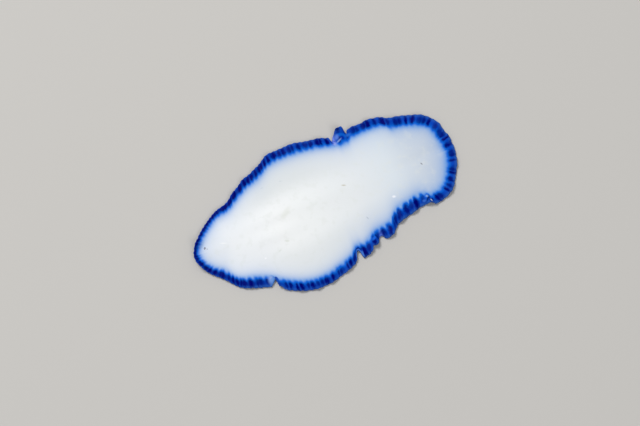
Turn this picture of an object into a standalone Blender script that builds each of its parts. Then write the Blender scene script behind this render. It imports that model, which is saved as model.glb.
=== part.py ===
"""A life-size still model of a polyclad flatworm lying flat, with its ruffled blue margin.

The worm is a thin leaf. It is described by its margin, by a midline inside it, and by rays that run
from every place on the margin to the midline. A place on the leaf is then a ring place t (0 at the head
tip, 0 to 1 down the right side, 1 at the tail tip, 1 to 2 up the left side), an inset from the margin
along the ray, and a level from the belly (0) to the back (1).

+X runs from the head to the tail, +Y to the animal's right, +Z up. The origin is at the middle of the
footprint, on the floor. Sizes are in millimetres here, and are turned into metres where a mesh is made.
"""

import math
from collections import namedtuple
from functools import lru_cache

import bmesh
import bpy
import numpy as np
from mathutils import Matrix, Vector
from mathutils.bvhtree import BVHTree

MM = 0.001
RIGHT, LEFT = 1, -1
GAP = 0.3                        # room left between two pieces that meet
WELD = 0.06                      # points of one piece closer than this are one point
SCREW_WELD = 0.01                # the same on the axis of a turned piece

# The margin, read every 2 to 4 mm: x from the head tip, y to the animal's right.
HEAD_TIP = (0.2, 1.7)
RIGHT_MARGIN = (
    (1.15, 3.3), (3.25, 5.2), (5.85, 6.7), (8.6, 7.5), (10.45, 8.6), (12.8, 9.8), (15.2, 10.5), (18.0, 11.75),
    (21.6, 11.7), (25.2, 11.0), (28.6, 9.95), (31.6, 9.9), (34.5, 9.9), (37.05, 9.6), (38.4, 8.6),
    (40.3, 8.25), (42.5, 7.3), (44.8, 5.7), (45.8, 2.9),
)
TAIL_TIP = (46.0, -0.4)
LEFT_MARGIN = (
    (45.25, -2.7), (44.0, -4.95), (42.2, -6.8), (39.6, -7.6), (37.0, -7.0), (34.6, -7.4), (32.4, -7.8),
    (30.5, -9.1), (27.8, -9.3), (25.75, -10.3), (23.3, -10.7), (21.0, -11.3), (18.0, -11.8), (14.95, -11.5),
    (11.7, -10.0), (9.25, -8.25), (6.95, -7.25), (4.75, -6.05), (3.1, -3.9), (1.4, -2.0), (0.35, -0.1),
)

# The midline keeps to y = 0 and swings to the right at the head.
HEAD_TURN = 2.0                  # how far
HEAD_TURN_LENGTH = 8.0           # over what length
MIDLINE_FRONT = 6.0              # x of its front end, where the rays of the head fan out
MIDLINE_REAR = 38.5              # x of its rear end
MIDLINE_EASE = 2.5               # how softly the fans begin

# Thickness: the leaf is thin at the margin and crowned along the midline.
EDGE_THICK = 0.55
HEIGHT = ((0, 0.95), (3, 1.05), (8, 1.3), (14, 1.5), (22, 1.45), (30, 1.2), (38, 1.0), (46, 0.8))
CROWN_FALL = 0.35                # more of it makes the flanks thinner

# Low swellings and furrows of the back: where, half length, half width, turn in degrees, height.
Swelling = namedtuple("Swelling", "x y half_length half_width turn height")
RELIEF = (
    Swelling(5.5, 1.7, 3.0, 1.8, -8, 0.16),       # head, over the brain
    Swelling(14.0, 2.0, 4.0, 1.2, -3, 0.30),      # right fold of the throat
    Swelling(13.6, -0.9, 4.2, 1.2, -3, 0.30),     # left fold of the throat
    Swelling(22.0, 1.4, 6.5, 1.7, -4, 0.26),      # main gut behind the throat
    Swelling(40.0, 0.4, 4.5, 0.9, 0, -0.12),      # furrow towards the tail
)

# The blue margin's width on each side: x, width. It is wider at the folds, which it has to reach round.
RIGHT_BAND = (
    (0, 0.75), (6, 0.78), (10, 1.18), (15, 1.37), (24, 1.35), (28.9, 1.4), (29.6, 1.8), (31.0, 1.8),
    (31.6, 1.4), (34, 1.4), (40, 1.55), (46, 1.5),
)
LEFT_BAND = (
    (0, 0.85), (3, 1.1), (7, 1.35), (8.8, 1.35), (9.4, 1.8), (10.2, 1.8), (11, 1.35), (14, 1.32),
    (23.2, 1.3), (24, 1.65), (25, 1.6), (29, 1.5), (34, 1.9), (39, 1.42), (46, 1.38),
)

# Ruffles: the margin rises and falls, and rests on the floor in each trough.
RUFFLE_LENGTH = 3.5              # from crest to crest
RUFFLE_DRIFT = 0.3               # how much that length wanders, in waves
RUFFLE_DRIFT_LENGTH = 19.0
RUFFLE_FLAT = 0.3                # share of the wave that the floor flattens
RUFFLE_REACH = 2.4               # how far in from the margin they run
RUFFLE_IN_OUT = 0.05             # how far a crest leans out
RIGHT_RUFFLE = ((0, 0.0), (4, 0.1), (10, 0.25), (28, 0.35), (36, 0.35), (46, 0.35))
LEFT_RUFFLE = ((0, 0.0), (4, 0.15), (10, 0.3), (20, 0.3), (27, 0.4), (36, 0.45), (42, 0.4), (46, 0.35))
FRONT_TURN_UP = 0.35             # the head's rim is turned up
FRONT_TURN_UP_LENGTH = 5.0

# Folds of the margin: side, x, how far out (or in) and towards the tail, half width along the margin, power
# (2 is pointed, 4 is round, more is square), and how much it lifts. A deeper fold reaches further in.
Fold = namedtuple("Fold", "side x out along half_width power lift")
FOLD_LEAST_REACH = 1.5
FOLD_REACH_SHARE = 1.75          # reach for each millimetre of depth
FOLD_LIFT_REACH = 1.6
FOLDS = (
    Fold(RIGHT, 28.6, -0.7, 0.0, 0.22, 2, 0.0),      # slit in front of the curl
    Fold(RIGHT, 30.1, 0.75, 0.25, 0.85, 6, 0.85),    # upright curl
    Fold(RIGHT, 31.15, -0.5, 0.0, 0.26, 2, 0.0),     # notch behind the curl
    Fold(LEFT, 9.75, -1.35, 0.0, 0.42, 3, 0.05),     # front notch
    Fold(LEFT, 10.4, -0.4, 0.0, 0.7, 2, 0.1),        # its gentler rear side
    Fold(LEFT, 23.6, -0.25, 0.0, 0.5, 2, 0.15),      # gentler front side of the tuck
    Fold(LEFT, 24.25, -1.3, 0.15, 0.55, 4, 0.1),     # deep tuck
    Fold(LEFT, 26.95, -0.3, 0.0, 0.3, 2, 0.1),       # dimple in front of the lobe
    Fold(LEFT, 27.6, 0.1, 0.0, 0.55, 4, 0.5),        # rolled lobe
    Fold(LEFT, 28.6, -0.75, 0.1, 0.45, 3, 0.0),      # gap behind the lobe
    Fold(LEFT, 38.2, -0.3, 0.0, 0.6, 2, 0.3),        # crossed crease
)

# Pseudotentacles: two low upfolds of the head's rim, measured along it from the tip.
TENTACLE_AT = 2.0
TENTACLE_HALF_WIDTH = 0.75
TENTACLE_LIFT = 0.75
TENTACLE_POWER = 4
TENTACLE_CUTS = (1.1, 2.9)

# Where the body and its margin are parted: x of each cut.
BODY_CUTS = (9.0, 20.0, 29.0, 36.4)
BODY_NAMES = ("head", "throat_region", "midbody", "hind_body", "tail")
RIGHT_CUTS = (8.0, 15.0, 22.0, 28.5, 31.3, 37.5, 44.0)
RIGHT_NAMES = ("margin_right_1", "margin_right_2", "margin_right_3", "margin_right_4", "margin_curl",
               "margin_right_5", "margin_right_6")
LEFT_CUTS = (8.0, 14.0, 20.5, 26.2, 32.0, 37.2, 43.8)
LEFT_NAMES = ("margin_left_1", "margin_left_2", "margin_left_3", "margin_left_4", "margin_left_5",
              "margin_left_6", "margin_left_7")

# Small parts: the eye cluster on the head, and the sucker and the openings of the belly.
EYES_AT = (2.33, 2.11)
EYES_SIZE = (0.34, 0.28, 0.16)   # half sizes
EYES_PROUD = 0.06
EYE_PIT_DEPTH = 0.46
SUCKER_AT = (23.0, 0.1)
SUCKER_RADIUS = 1.1
SUCKER_HEIGHT = 0.5
SUCKER_RIM = 0.3
SUCKER_CUP = 0.2
BELLY_PORES = (
    # where, radius, depth
    ("throat_region", (12.8, 0.4), 0.45, 0.5),    # mouth
    ("throat_region", (16.8, 0.2), 0.26, 0.4),    # male pore
    ("throat_region", (18.4, 0.2), 0.22, 0.35),   # female pore
)

# Fineness of the meshes.
CURVE_STEPS = 24                 # of the margin between two of its points
TANGENT_STEP = 0.004             # of a ring place, for the margin's direction
MIDLINE_STEPS = 800              # for finding the ray that ends at an x
HOLE_SIDES = 20
SUCKER_SIDES = 24
EYES_SIDES, EYES_RINGS = 14, 8
SHARP_ANGLE = 50                 # degrees
ABOVE = 10                       # higher than anything here
MARGIN_STEP = 0.25               # length of one facet along the margin
BODY_STEP = 0.5                  # the same for the white body
BORDER_SEARCH = 1.4              # how far in from the blue margin the body's border is looked for
BORDER_STEPS = 15
MARGIN_SECTION = (               # share of the band's width, level
    (1.0, 0.0), (0.55, 0.0), (0.14, 0.0), (0.0, 0.3), (0.0, 0.7), (0.14, 1.0), (0.55, 1.0), (1.0, 1.0),
)
BODY_SECTION = (                 # share of the way from the band to the midline, level
    (1.0, 0.0), (0.42, 0.0), (0.18, 0.0), (0.0, 0.0), (0.0, 1.0), (0.12, 1.0), (0.28, 1.0), (0.46, 1.0),
    (0.64, 1.0), (0.82, 1.0), (1.0, 1.0),
)


def clear_scene():
    for thing in list(bpy.data.objects):
        bpy.data.objects.remove(thing, do_unlink=True)


def closed_curve(points):
    """A smooth closed curve through the points, as short steps."""
    here = np.array(points)
    before = np.roll(here, 1, 0)
    after = np.roll(here, -1, 0)
    beyond = np.roll(here, -2, 0)
    steps = []
    for k in range(CURVE_STEPS):
        u = k / CURVE_STEPS
        steps.append(0.5 * (2 * here + (after - before) * u
                            + (2 * before - 5 * here + 4 * after - beyond) * u ** 2
                            + (3 * here - before - 3 * after + beyond) * u ** 3))
    return np.stack(steps, 1).reshape(-1, 2)


def ring_places(curve, tail_index):
    """The ring place of every point of the margin: arc length, with each side as one unit."""
    run = np.concatenate([[0], np.cumsum(np.linalg.norm(np.diff(curve, axis=0), axis=1))])
    right_length = run[tail_index]
    left_length = run[-1] - right_length
    places = np.where(run <= right_length, run / right_length, 1 + (run - right_length) / left_length)
    return places, right_length, left_length


MARGIN = closed_curve((HEAD_TIP, *RIGHT_MARGIN, TAIL_TIP, *LEFT_MARGIN))
MARGIN = np.vstack([MARGIN, MARGIN[:1]])
TAIL_INDEX = (len(RIGHT_MARGIN) + 1) * CURVE_STEPS
PLACES, RIGHT_LENGTH, LEFT_LENGTH = ring_places(MARGIN, TAIL_INDEX)


def side_of(t):
    return RIGHT if t % 2 <= 1 else LEFT


def edge(t):
    """The plain margin, without ruffles and folds."""
    t = t % 2
    return np.array([np.interp(t, PLACES, MARGIN[:, 0]), np.interp(t, PLACES, MARGIN[:, 1])])


def margin_ways(t):
    """Unit steps out from the margin, and along it towards the tail."""
    run = edge(t + TANGENT_STEP) - edge(t - TANGENT_STEP)
    run = run / np.linalg.norm(run)
    return np.array([-run[1], run[0]]), run * side_of(t)


def from_tip(t):
    """How far a ring place is from the head tip, along the margin."""
    t = t % 2
    return t * RIGHT_LENGTH if t <= 1 else (2 - t) * LEFT_LENGTH


def ring_place_at_x(side, x):
    """The ring place on one side where the margin crosses x."""
    if side == RIGHT:
        return np.interp(x, MARGIN[:TAIL_INDEX + 1, 0], PLACES[:TAIL_INDEX + 1])
    return np.interp(x, MARGIN[TAIL_INDEX:, 0][::-1], PLACES[TAIL_INDEX:][::-1])


def soft_floor(value, low, ease):
    """The value, but never under low, with a soft turn between the two."""
    over = value - low + ease
    if over <= 0:
        return low
    return low + over ** 2 / (4 * ease) if over < 2 * ease else value


def foot(t):
    """The end of the ray from ring place t, on the midline."""
    x = 0.5 * (edge(t)[0] + edge(-t)[0])
    x = soft_floor(x, MIDLINE_FRONT, MIDLINE_EASE)
    x = -soft_floor(-x, -MIDLINE_REAR, MIDLINE_EASE)
    return np.array([x, HEAD_TURN * math.exp(-x / HEAD_TURN_LENGTH)])


def fade(inset, reach):
    """1 at the margin, falling smoothly to 0 where the inset passes the reach."""
    u = max(0.0, 1 - inset / reach)
    return u * u * (3 - 2 * u)


def ruffle(t):
    """Height of the margin's wave, and how far it leans out."""
    side = side_of(t)
    run = from_tip(t)
    table = RIGHT_RUFFLE if side == RIGHT else LEFT_RUFFLE
    size = np.interp(edge(t)[0], *zip(*table))
    drift = RUFFLE_DRIFT * math.sin(2 * math.pi * run / RUFFLE_DRIFT_LENGTH + side)
    wave = math.sin(2 * math.pi * (run / RUFFLE_LENGTH + drift))
    rise = max(0.0, (wave + 1 - 2 * RUFFLE_FLAT) / (2 - 2 * RUFFLE_FLAT))
    return size * rise, RUFFLE_IN_OUT * wave * min(1.0, size / 0.4)


FOLD_PLACES = [ring_place_at_x(fold.side, fold.x) for fold in FOLDS]


def folded(t, inset):
    """How far the folds push the skin out, move it towards the tail, and lift it."""
    run = from_tip(t)
    lift = FRONT_TURN_UP * math.exp(-(run / FRONT_TURN_UP_LENGTH) ** 2)
    lift += TENTACLE_LIFT * math.exp(-((run - TENTACLE_AT) / TENTACLE_HALF_WIDTH) ** TENTACLE_POWER)
    out = 0.0
    along = 0.0
    for fold, place in zip(FOLDS, FOLD_PLACES):
        if fold.side == side_of(t):
            share = math.exp(-(abs(run - from_tip(place)) / fold.half_width) ** fold.power)
            felt = share * fade(inset, max(FOLD_LEAST_REACH, FOLD_REACH_SHARE * abs(fold.out)))
            out += fold.out * felt
            along += fold.along * felt
            lift += fold.lift * share
    return out, along, lift * fade(inset, FOLD_LIFT_REACH)


def relief(x, y):
    total = 0.0
    for bump in RELIEF:
        angle = math.radians(bump.turn)
        along = (x - bump.x) * math.cos(angle) + (y - bump.y) * math.sin(angle)
        across = (y - bump.y) * math.cos(angle) - (x - bump.x) * math.sin(angle)
        total += bump.height * math.exp(-(along / bump.half_length) ** 2 - (across / bump.half_width) ** 2)
    return total


def flesh(t, inset, level):
    """The place in the leaf at ring place t, inset from the margin, between belly and back."""
    start = edge(t)
    ray = foot(t) - start
    ray_length = np.linalg.norm(ray)
    outwards, tailwards = margin_ways(t)
    wave_lift, wave_out = ruffle(t)
    wave_fade = fade(inset, RUFFLE_REACH)
    fold_out, fold_along, fold_lift = folded(t, inset)
    push = outwards * (wave_out * wave_fade + fold_out) + tailwards * fold_along
    x, y = start + ray * inset / ray_length + push
    lift = wave_lift * wave_fade + fold_lift
    share = 1 - inset / ray_length
    crown = (1 - share ** 2) * (1 - CROWN_FALL * share ** 2)
    thick = EDGE_THICK + (np.interp(x, *zip(*HEIGHT)) - EDGE_THICK) * crown + relief(x, y)
    return Vector((x, y, lift + level * thick)) * MM


def band_width(t):
    table = RIGHT_BAND if side_of(t) == RIGHT else LEFT_BAND
    return np.interp(edge(t)[0], *zip(*table))


def bent_sheet(bm, ts, section, place):
    """A grid of one column for each ring place and one row for each point of the section."""
    columns = len(ts) - 1
    rows = len(section) - 1
    made = bmesh.ops.create_grid(bm, x_segments=columns, y_segments=rows, size=0.5)
    lanes = [[None] * (rows + 1) for _ in ts]
    for vert in made["verts"]:
        i = round((vert.co.x + 0.5) * columns)
        j = round((vert.co.y + 0.5) * rows)
        lanes[i][j] = vert
        vert.co = place(ts[i], *section[j])
    return lanes


def margin_point(t, share, level):
    return flesh(t, share * band_width(t), level)


@lru_cache(maxsize=None)
def body_border(t):
    """The inset where the white body begins, one gap in from the blue margin, in a fold too."""
    insets = [band_width(t) + step for step in np.linspace(0, BORDER_SEARCH, BORDER_STEPS)]
    places = [flesh(t, inset, 1.0).xy / MM for inset in insets]
    return float(np.interp(GAP, [(place - places[0]).length for place in places], insets))


def body_point(t, share, level):
    border = body_border(t)
    ray_length = np.linalg.norm(foot(t) - edge(t))
    return flesh(t, border + (ray_length - border) * share, level)


def ring_steps(start, end, step):
    """Ring places from start to end, about one step of the margin apart."""
    count = max(2, round(abs(end - start) * RIGHT_LENGTH / step))
    return [float(t) for t in np.linspace(start, end, count + 1)]


def finish_mesh(bm, name, material):
    bmesh.ops.remove_doubles(bm, verts=bm.verts, dist=WELD * MM)
    bmesh.ops.recalc_face_normals(bm, faces=bm.faces)
    mesh = bpy.data.meshes.new(name)
    bm.to_mesh(mesh)
    bm.free()
    mesh.materials.append(material)
    mesh.shade_smooth()
    mesh.set_sharp_from_angle(angle=math.radians(SHARP_ANGLE))
    thing = bpy.data.objects.new(name, mesh)
    PARTS.objects.link(thing)
    return thing


def make_margin(name, start, end, material):
    """One length of the blue margin: a flat tube along the ring, closed at both ends."""
    bm = bmesh.new()
    section = MARGIN_SECTION + MARGIN_SECTION[:1]
    lanes = bent_sheet(bm, ring_steps(start, end, MARGIN_STEP), section, margin_point)
    for lane in (lanes[0], lanes[-1]):
        bm.faces.new(lane[:-1])
    return finish_mesh(bm, name, material)


def make_body(name, start, end, material):
    """One length of the white body: its right and left halves, joined along the midline."""
    bm = bmesh.new()
    for side in (RIGHT, LEFT):
        ts = [side * t for t in ring_steps(start, end, BODY_STEP)]
        lanes = bent_sheet(bm, ts, BODY_SECTION, body_point)
        if start > 0:
            bm.faces.new(lanes[0])
        if end < 1:
            bm.faces.new(lanes[-1])
    return finish_mesh(bm, name, material)


def foot_place(x):
    """The ring place whose ray ends at x on the midline."""
    ts = np.linspace(0, 1, MIDLINE_STEPS)
    return float(np.interp(x, [foot(t)[0] for t in ts], ts))


def make_all_bodies(material):
    starts = [0.0] + [foot_place(x + GAP / 2) for x in BODY_CUTS]
    ends = [foot_place(x - GAP / 2) for x in BODY_CUTS] + [1.0]
    return {name: make_body(name, start, end, material)
            for name, start, end in zip(BODY_NAMES, starts, ends)}


def make_side_margins(side, cuts, names, material):
    """The lengths of one side, from behind the pseudotentacle to the tail piece."""
    length = RIGHT_LENGTH if side == RIGHT else LEFT_LENGTH
    half_gap = GAP / 2 / length
    places = [TENTACLE_CUTS[1] / length] + [ring_place_at_x(side, x) if side == RIGHT
                                            else 2 - ring_place_at_x(side, x) for x in cuts]
    for name, start, end in zip(names, places, places[1:]):
        make_margin(name, side * (start + half_gap), side * (end - half_gap), material)
    return places[-1] + half_gap


def make_margins(blue, dark_blue):
    right_end = make_side_margins(RIGHT, RIGHT_CUTS, RIGHT_NAMES, blue)
    left_end = make_side_margins(LEFT, LEFT_CUTS, LEFT_NAMES, blue)
    make_margin("margin_tail", right_end, 2 - left_end, blue)
    near, far = TENTACLE_CUTS
    make_margin("margin_front", -(near - GAP / 2) / LEFT_LENGTH, (near - GAP / 2) / RIGHT_LENGTH, dark_blue)
    for side, length, name in ((RIGHT, RIGHT_LENGTH, "pseudotentacle_right"),
                               (LEFT, LEFT_LENGTH, "pseudotentacle_left")):
        make_margin(name, side * (near + GAP / 2) / length, side * (far - GAP / 2) / length, dark_blue)


def cut_round(target, at, radius, low, high, name):
    """Cuts a round hole with a flat end, from height low to height high."""
    bm = bmesh.new()
    middle = Matrix.Translation(Vector((at[0], at[1], (low + high) / 2)) * MM)
    bmesh.ops.create_cone(bm, cap_ends=True, segments=HOLE_SIDES, radius1=radius * MM, radius2=radius * MM,
                          depth=(high - low) * MM, matrix=middle)
    mesh = bpy.data.meshes.new(name)
    bm.to_mesh(mesh)
    bm.free()
    cutter = bpy.data.objects.new(name, mesh)
    cutter.hide_render = True
    cutter.display_type = "WIRE"
    CUTTERS.objects.link(cutter)
    cut = target.modifiers.new(name, "BOOLEAN")
    cut.operation = "DIFFERENCE"
    cut.solver = "EXACT"
    cut.object = cutter


def top_of(thing, at):
    """Height of an object's back over a place, in millimetres."""
    bm = bmesh.new()
    bm.from_mesh(thing.data)
    tree = BVHTree.FromBMesh(bm)
    bm.free()
    hit = tree.ray_cast(Vector((at[0], at[1], ABOVE)) * MM, Vector((0, 0, -1)))
    return hit[0].z / MM


def make_eyes(head, material):
    """The eye cluster: one low dark dome, set in a pit of the head."""
    top = top_of(head, EYES_AT)
    cut_round(head, EYES_AT, max(EYES_SIZE) + GAP, top - EYE_PIT_DEPTH, ABOVE, "eye_pit")
    bm = bmesh.new()
    bmesh.ops.create_uvsphere(bm, u_segments=EYES_SIDES, v_segments=EYES_RINGS, radius=1)
    middle = Vector((EYES_AT[0], EYES_AT[1], top + EYES_PROUD - EYES_SIZE[2]))
    for vert in bm.verts:
        vert.co = (middle + vert.co * Vector(EYES_SIZE)) * MM
    return finish_mesh(bm, "cerebral_eyes", material)


def make_sucker(midbody, material):
    """The sucker: a turned disc with a shallow cup, in a recess of the belly."""
    cut_round(midbody, SUCKER_AT, SUCKER_RADIUS + GAP, -ABOVE, SUCKER_HEIGHT + GAP, "sucker_recess")
    profile = (
        (0, SUCKER_HEIGHT), (SUCKER_RADIUS * 0.88, SUCKER_HEIGHT), (SUCKER_RADIUS, SUCKER_HEIGHT * 0.75),
        (SUCKER_RADIUS, 0), (SUCKER_RADIUS - SUCKER_RIM, 0), (SUCKER_RADIUS * 0.4, SUCKER_CUP * 0.8),
        (0, SUCKER_CUP),
    )
    mesh = bpy.data.meshes.new("ventral_sucker")
    mesh.from_pydata([Vector((r, 0, z)) * MM for r, z in profile],
                     [(i, i + 1) for i in range(len(profile) - 1)], [])
    mesh.materials.append(material)
    sucker = bpy.data.objects.new("ventral_sucker", mesh)
    sucker.location = Vector((SUCKER_AT[0], SUCKER_AT[1], 0)) * MM
    PARTS.objects.link(sucker)
    turn = sucker.modifiers.new("turn", "SCREW")
    turn.steps = SUCKER_SIDES
    turn.render_steps = SUCKER_SIDES
    turn.use_merge_vertices = True
    turn.merge_threshold = SCREW_WELD * MM
    turn.use_smooth_shade = True
    return sucker


def make_material(name, colour, roughness):
    """A wet skin: the colour is given as seen on a screen."""
    material = bpy.data.materials.new(name)
    material.use_nodes = True
    shader = material.node_tree.nodes["Principled BSDF"]
    linear = [(c / 255) ** 2.2 for c in colour]
    shader.inputs["Base Color"].default_value = (*linear, 1)
    shader.inputs["Roughness"].default_value = roughness
    shader.inputs["Metallic"].default_value = 0
    material.diffuse_color = (*linear, 1)
    return material


def centre_on_origin():
    """Moves everything so that the footprint's middle is at the origin."""
    bpy.context.view_layer.update()
    corners = []
    for thing in PARTS.objects:
        if thing.name != "ventral_sucker":
            corners += [thing.matrix_world @ vert.co for vert in thing.data.vertices]
    xs = [c.x for c in corners]
    ys = [c.y for c in corners]
    shift = Vector(((min(xs) + max(xs)) / 2, (min(ys) + max(ys)) / 2, 0))
    for thing in [*PARTS.objects, *CUTTERS.objects]:
        thing.location -= shift


clear_scene()
PARTS = bpy.data.collections.new("flatworm")
CUTTERS = bpy.data.collections.new("cutters")
for collection in (PARTS, CUTTERS):
    bpy.context.scene.collection.children.link(collection)

white_skin = make_material("white_skin", (236, 239, 240), 0.35)
blue_skin = make_material("blue_skin", (8, 60, 185), 0.3)
dark_blue_skin = make_material("dark_blue_skin", (6, 28, 135), 0.3)
eye_pigment = make_material("eye_pigment", (40, 36, 48), 0.4)
sucker_skin = make_material("sucker_skin", (214, 222, 230), 0.4)

bodies = make_all_bodies(white_skin)
make_margins(blue_skin, dark_blue_skin)
make_eyes(bodies["head"], eye_pigment)
make_sucker(bodies["midbody"], sucker_skin)
for number, (node, at, radius, depth) in enumerate(BELLY_PORES):
    cut_round(bodies[node], at, radius, -ABOVE, depth, f"belly_pore_{number + 1}")
centre_on_origin()
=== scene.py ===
# %% [markdown]
# # A life-size flatworm with a ruffled blue margin
# This script dresses a packed model of a polyclad flatworm, 46 mm long and less than 2 mm thick. The animal
# is one soft leaf: a creamy-white back, a ruffled margin of azure with navy spots, two low folds on the rim
# of the head, a cluster of eye specks, and a sucker on the belly. Each cell makes one of these, and says
# first what it is on the real worm and why it is made this way.

# %% Load the frame
import math
from collections import namedtuple
from types import SimpleNamespace

import bmesh
import bpy
import numpy as np
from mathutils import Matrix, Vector
from mathutils.bvhtree import BVHTree


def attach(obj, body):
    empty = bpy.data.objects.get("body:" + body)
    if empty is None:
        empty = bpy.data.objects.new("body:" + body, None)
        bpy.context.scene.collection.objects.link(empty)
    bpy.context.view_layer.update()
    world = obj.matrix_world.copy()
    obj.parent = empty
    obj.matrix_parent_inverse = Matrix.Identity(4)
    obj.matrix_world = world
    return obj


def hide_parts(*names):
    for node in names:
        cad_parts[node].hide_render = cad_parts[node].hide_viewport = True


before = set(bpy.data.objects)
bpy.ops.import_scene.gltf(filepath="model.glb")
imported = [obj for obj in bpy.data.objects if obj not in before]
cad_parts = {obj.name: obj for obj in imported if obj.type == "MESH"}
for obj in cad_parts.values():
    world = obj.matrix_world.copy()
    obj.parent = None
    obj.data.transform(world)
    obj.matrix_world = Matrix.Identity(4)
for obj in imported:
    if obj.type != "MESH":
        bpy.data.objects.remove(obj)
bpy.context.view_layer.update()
MM = 0.001

# %% [markdown]
# ## The margin
# Seen from above the worm is a closed curve. It could be traced closely, but a margin that is read every
# 2 to 4 mm and joined by a smooth curve keeps the numbers few, and the small folds come later by name.
# Places are in millimetres: x from the head tip to the tail, y to the animal's right.

# %% The margin's curve
RIGHT, LEFT = 1, -1
HEAD_TIP = (0.2, 1.7)
RIGHT_MARGIN = (
    (1.15, 3.3), (3.25, 5.2), (5.85, 6.7), (8.6, 7.5), (10.45, 8.6), (12.8, 9.8), (15.2, 10.5), (18.0, 11.75),
    (21.6, 11.7), (25.2, 11.0), (28.6, 9.95), (31.6, 9.9), (34.5, 9.9), (37.05, 9.6), (38.4, 8.6),
    (40.3, 8.25), (42.5, 7.3), (44.8, 5.7), (45.8, 2.9),
)
TAIL_TIP = (46.0, -0.4)
LEFT_MARGIN = (
    (45.25, -2.7), (44.0, -4.95), (42.2, -6.8), (39.6, -7.6), (37.0, -7.0), (34.6, -7.4), (32.4, -7.8),
    (30.5, -9.1), (27.8, -9.3), (25.75, -10.3), (23.3, -10.7), (21.0, -11.3), (18.0, -11.8), (14.95, -11.5),
    (11.7, -10.0), (9.25, -8.25), (6.95, -7.25), (4.75, -6.05), (3.1, -3.9), (1.4, -2.0), (0.35, -0.1),
)
CURVE_STEPS = 24


def closed_curve(points):
    """A smooth closed curve through the points, as short steps."""
    here = np.array(points)
    before = np.roll(here, 1, 0)
    after = np.roll(here, -1, 0)
    beyond = np.roll(here, -2, 0)
    steps = []
    for k in range(CURVE_STEPS):
        u = k / CURVE_STEPS
        steps.append(0.5 * (2 * here + (after - before) * u
                            + (2 * before - 5 * here + 4 * after - beyond) * u ** 2
                            + (3 * here - before - 3 * after + beyond) * u ** 3))
    curve = np.stack(steps, 1).reshape(-1, 2)
    return np.vstack([curve, curve[:1]])


MARGIN = closed_curve((HEAD_TIP, *RIGHT_MARGIN, TAIL_TIP, *LEFT_MARGIN))
TAIL_INDEX = (len(RIGHT_MARGIN) + 1) * CURVE_STEPS
RUN = np.concatenate([[0], np.cumsum(np.linalg.norm(np.diff(MARGIN, axis=0), axis=1))])
RIGHT_LENGTH = RUN[TAIL_INDEX]
LEFT_LENGTH = RUN[-1] - RIGHT_LENGTH
PLACES = np.where(RUN <= RIGHT_LENGTH, RUN / RIGHT_LENGTH, 1 + (RUN - RIGHT_LENGTH) / LEFT_LENGTH)
print("margin, mm: right", round(RIGHT_LENGTH, 1), "left", round(LEFT_LENGTH, 1))

# %% [markdown]
# ## Ring places, rays and the midline
# Every place on the worm gets a ring place t, which is 0 at the head tip, 1 at the tail tip and 2 at the
# head tip again, and an inset from the margin along a ray that ends on the midline. Ruffles, folds and
# colours all follow the margin, so they are simple to say in t and inset, and hard in x and y.

# %% Ring places and rays
HEAD_TURN = 2.0
HEAD_TURN_LENGTH = 8.0
MIDLINE_FRONT = 6.0
MIDLINE_REAR = 38.5
MIDLINE_EASE = 2.5
TANGENT_STEP = 0.004


def edge(t):
    """The plain margin at the ring places t: x and y."""
    x = np.interp(t, PLACES, MARGIN[:, 0], period=2)
    y = np.interp(t, PLACES, MARGIN[:, 1], period=2)
    return np.stack([x, y], -1)


def tangent(t):
    run = edge(t + TANGENT_STEP) - edge(t - TANGENT_STEP)
    return run / np.linalg.norm(run, axis=-1, keepdims=True)


def outward(t):
    way = tangent(t)
    return np.stack([-way[..., 1], way[..., 0]], -1)


def from_tip(t):
    """Distance from the head tip along the nearer side of the margin."""
    t = np.mod(t, 2)
    return np.where(t <= 1, t * RIGHT_LENGTH, (2 - t) * LEFT_LENGTH)


def is_right(t):
    return np.mod(t, 2) <= 1


def soft_floor(value, low, ease):
    """The value, but never under low, with a soft turn between the two."""
    over = value - low + ease
    turned = low + np.clip(over, 0, None) ** 2 / (4 * ease)
    return np.where(over < 2 * ease, turned, value)


def foot(t):
    """Where the rays from the ring places t end, on the midline."""
    x = 0.5 * (edge(t)[..., 0] + edge(-t)[..., 0])
    x = soft_floor(x, MIDLINE_FRONT, MIDLINE_EASE)
    x = -soft_floor(-x, -MIDLINE_REAR, MIDLINE_EASE)
    return np.stack([x, HEAD_TURN * np.exp(-x / HEAD_TURN_LENGTH)], -1)


def ring_place_at_x(side, x):
    """The ring place on one side where the margin crosses x."""
    if side == RIGHT:
        return np.interp(x, MARGIN[:TAIL_INDEX + 1, 0], PLACES[:TAIL_INDEX + 1])
    return np.interp(x, MARGIN[TAIL_INDEX:, 0][::-1], PLACES[TAIL_INDEX:][::-1])


print("midline from x", foot(np.array(0.0))[0].round(2), "to", foot(np.array(1.0))[0].round(2))

# %% [markdown]
# ## Thickness and relief
# The leaf is thin at its rim and crowned along the midline. The throat makes two long folds behind the
# head, and the gut a low ridge behind them. A swelling is a bell of a named length, width and height, which
# blends into its neighbours, so the back stays one smooth skin.

# %% Thickness and relief
EDGE_THICK = 0.55
HEIGHT = ((0, 0.95), (3, 1.05), (8, 1.3), (14, 1.5), (22, 1.45), (30, 1.2), (38, 1.0), (46, 0.8))
CROWN_FALL = 0.35
Swelling = namedtuple("Swelling", "x y half_length half_width turn height")
RELIEF = (
    Swelling(5.5, 1.7, 3.0, 1.8, -8, 0.16),
    Swelling(14.0, 2.0, 4.0, 1.2, -3, 0.30),
    Swelling(13.6, -0.9, 4.2, 1.2, -3, 0.30),
    Swelling(22.0, 1.4, 6.5, 1.7, -4, 0.26),
    Swelling(40.0, 0.4, 4.5, 0.9, 0, -0.12),
)


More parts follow.
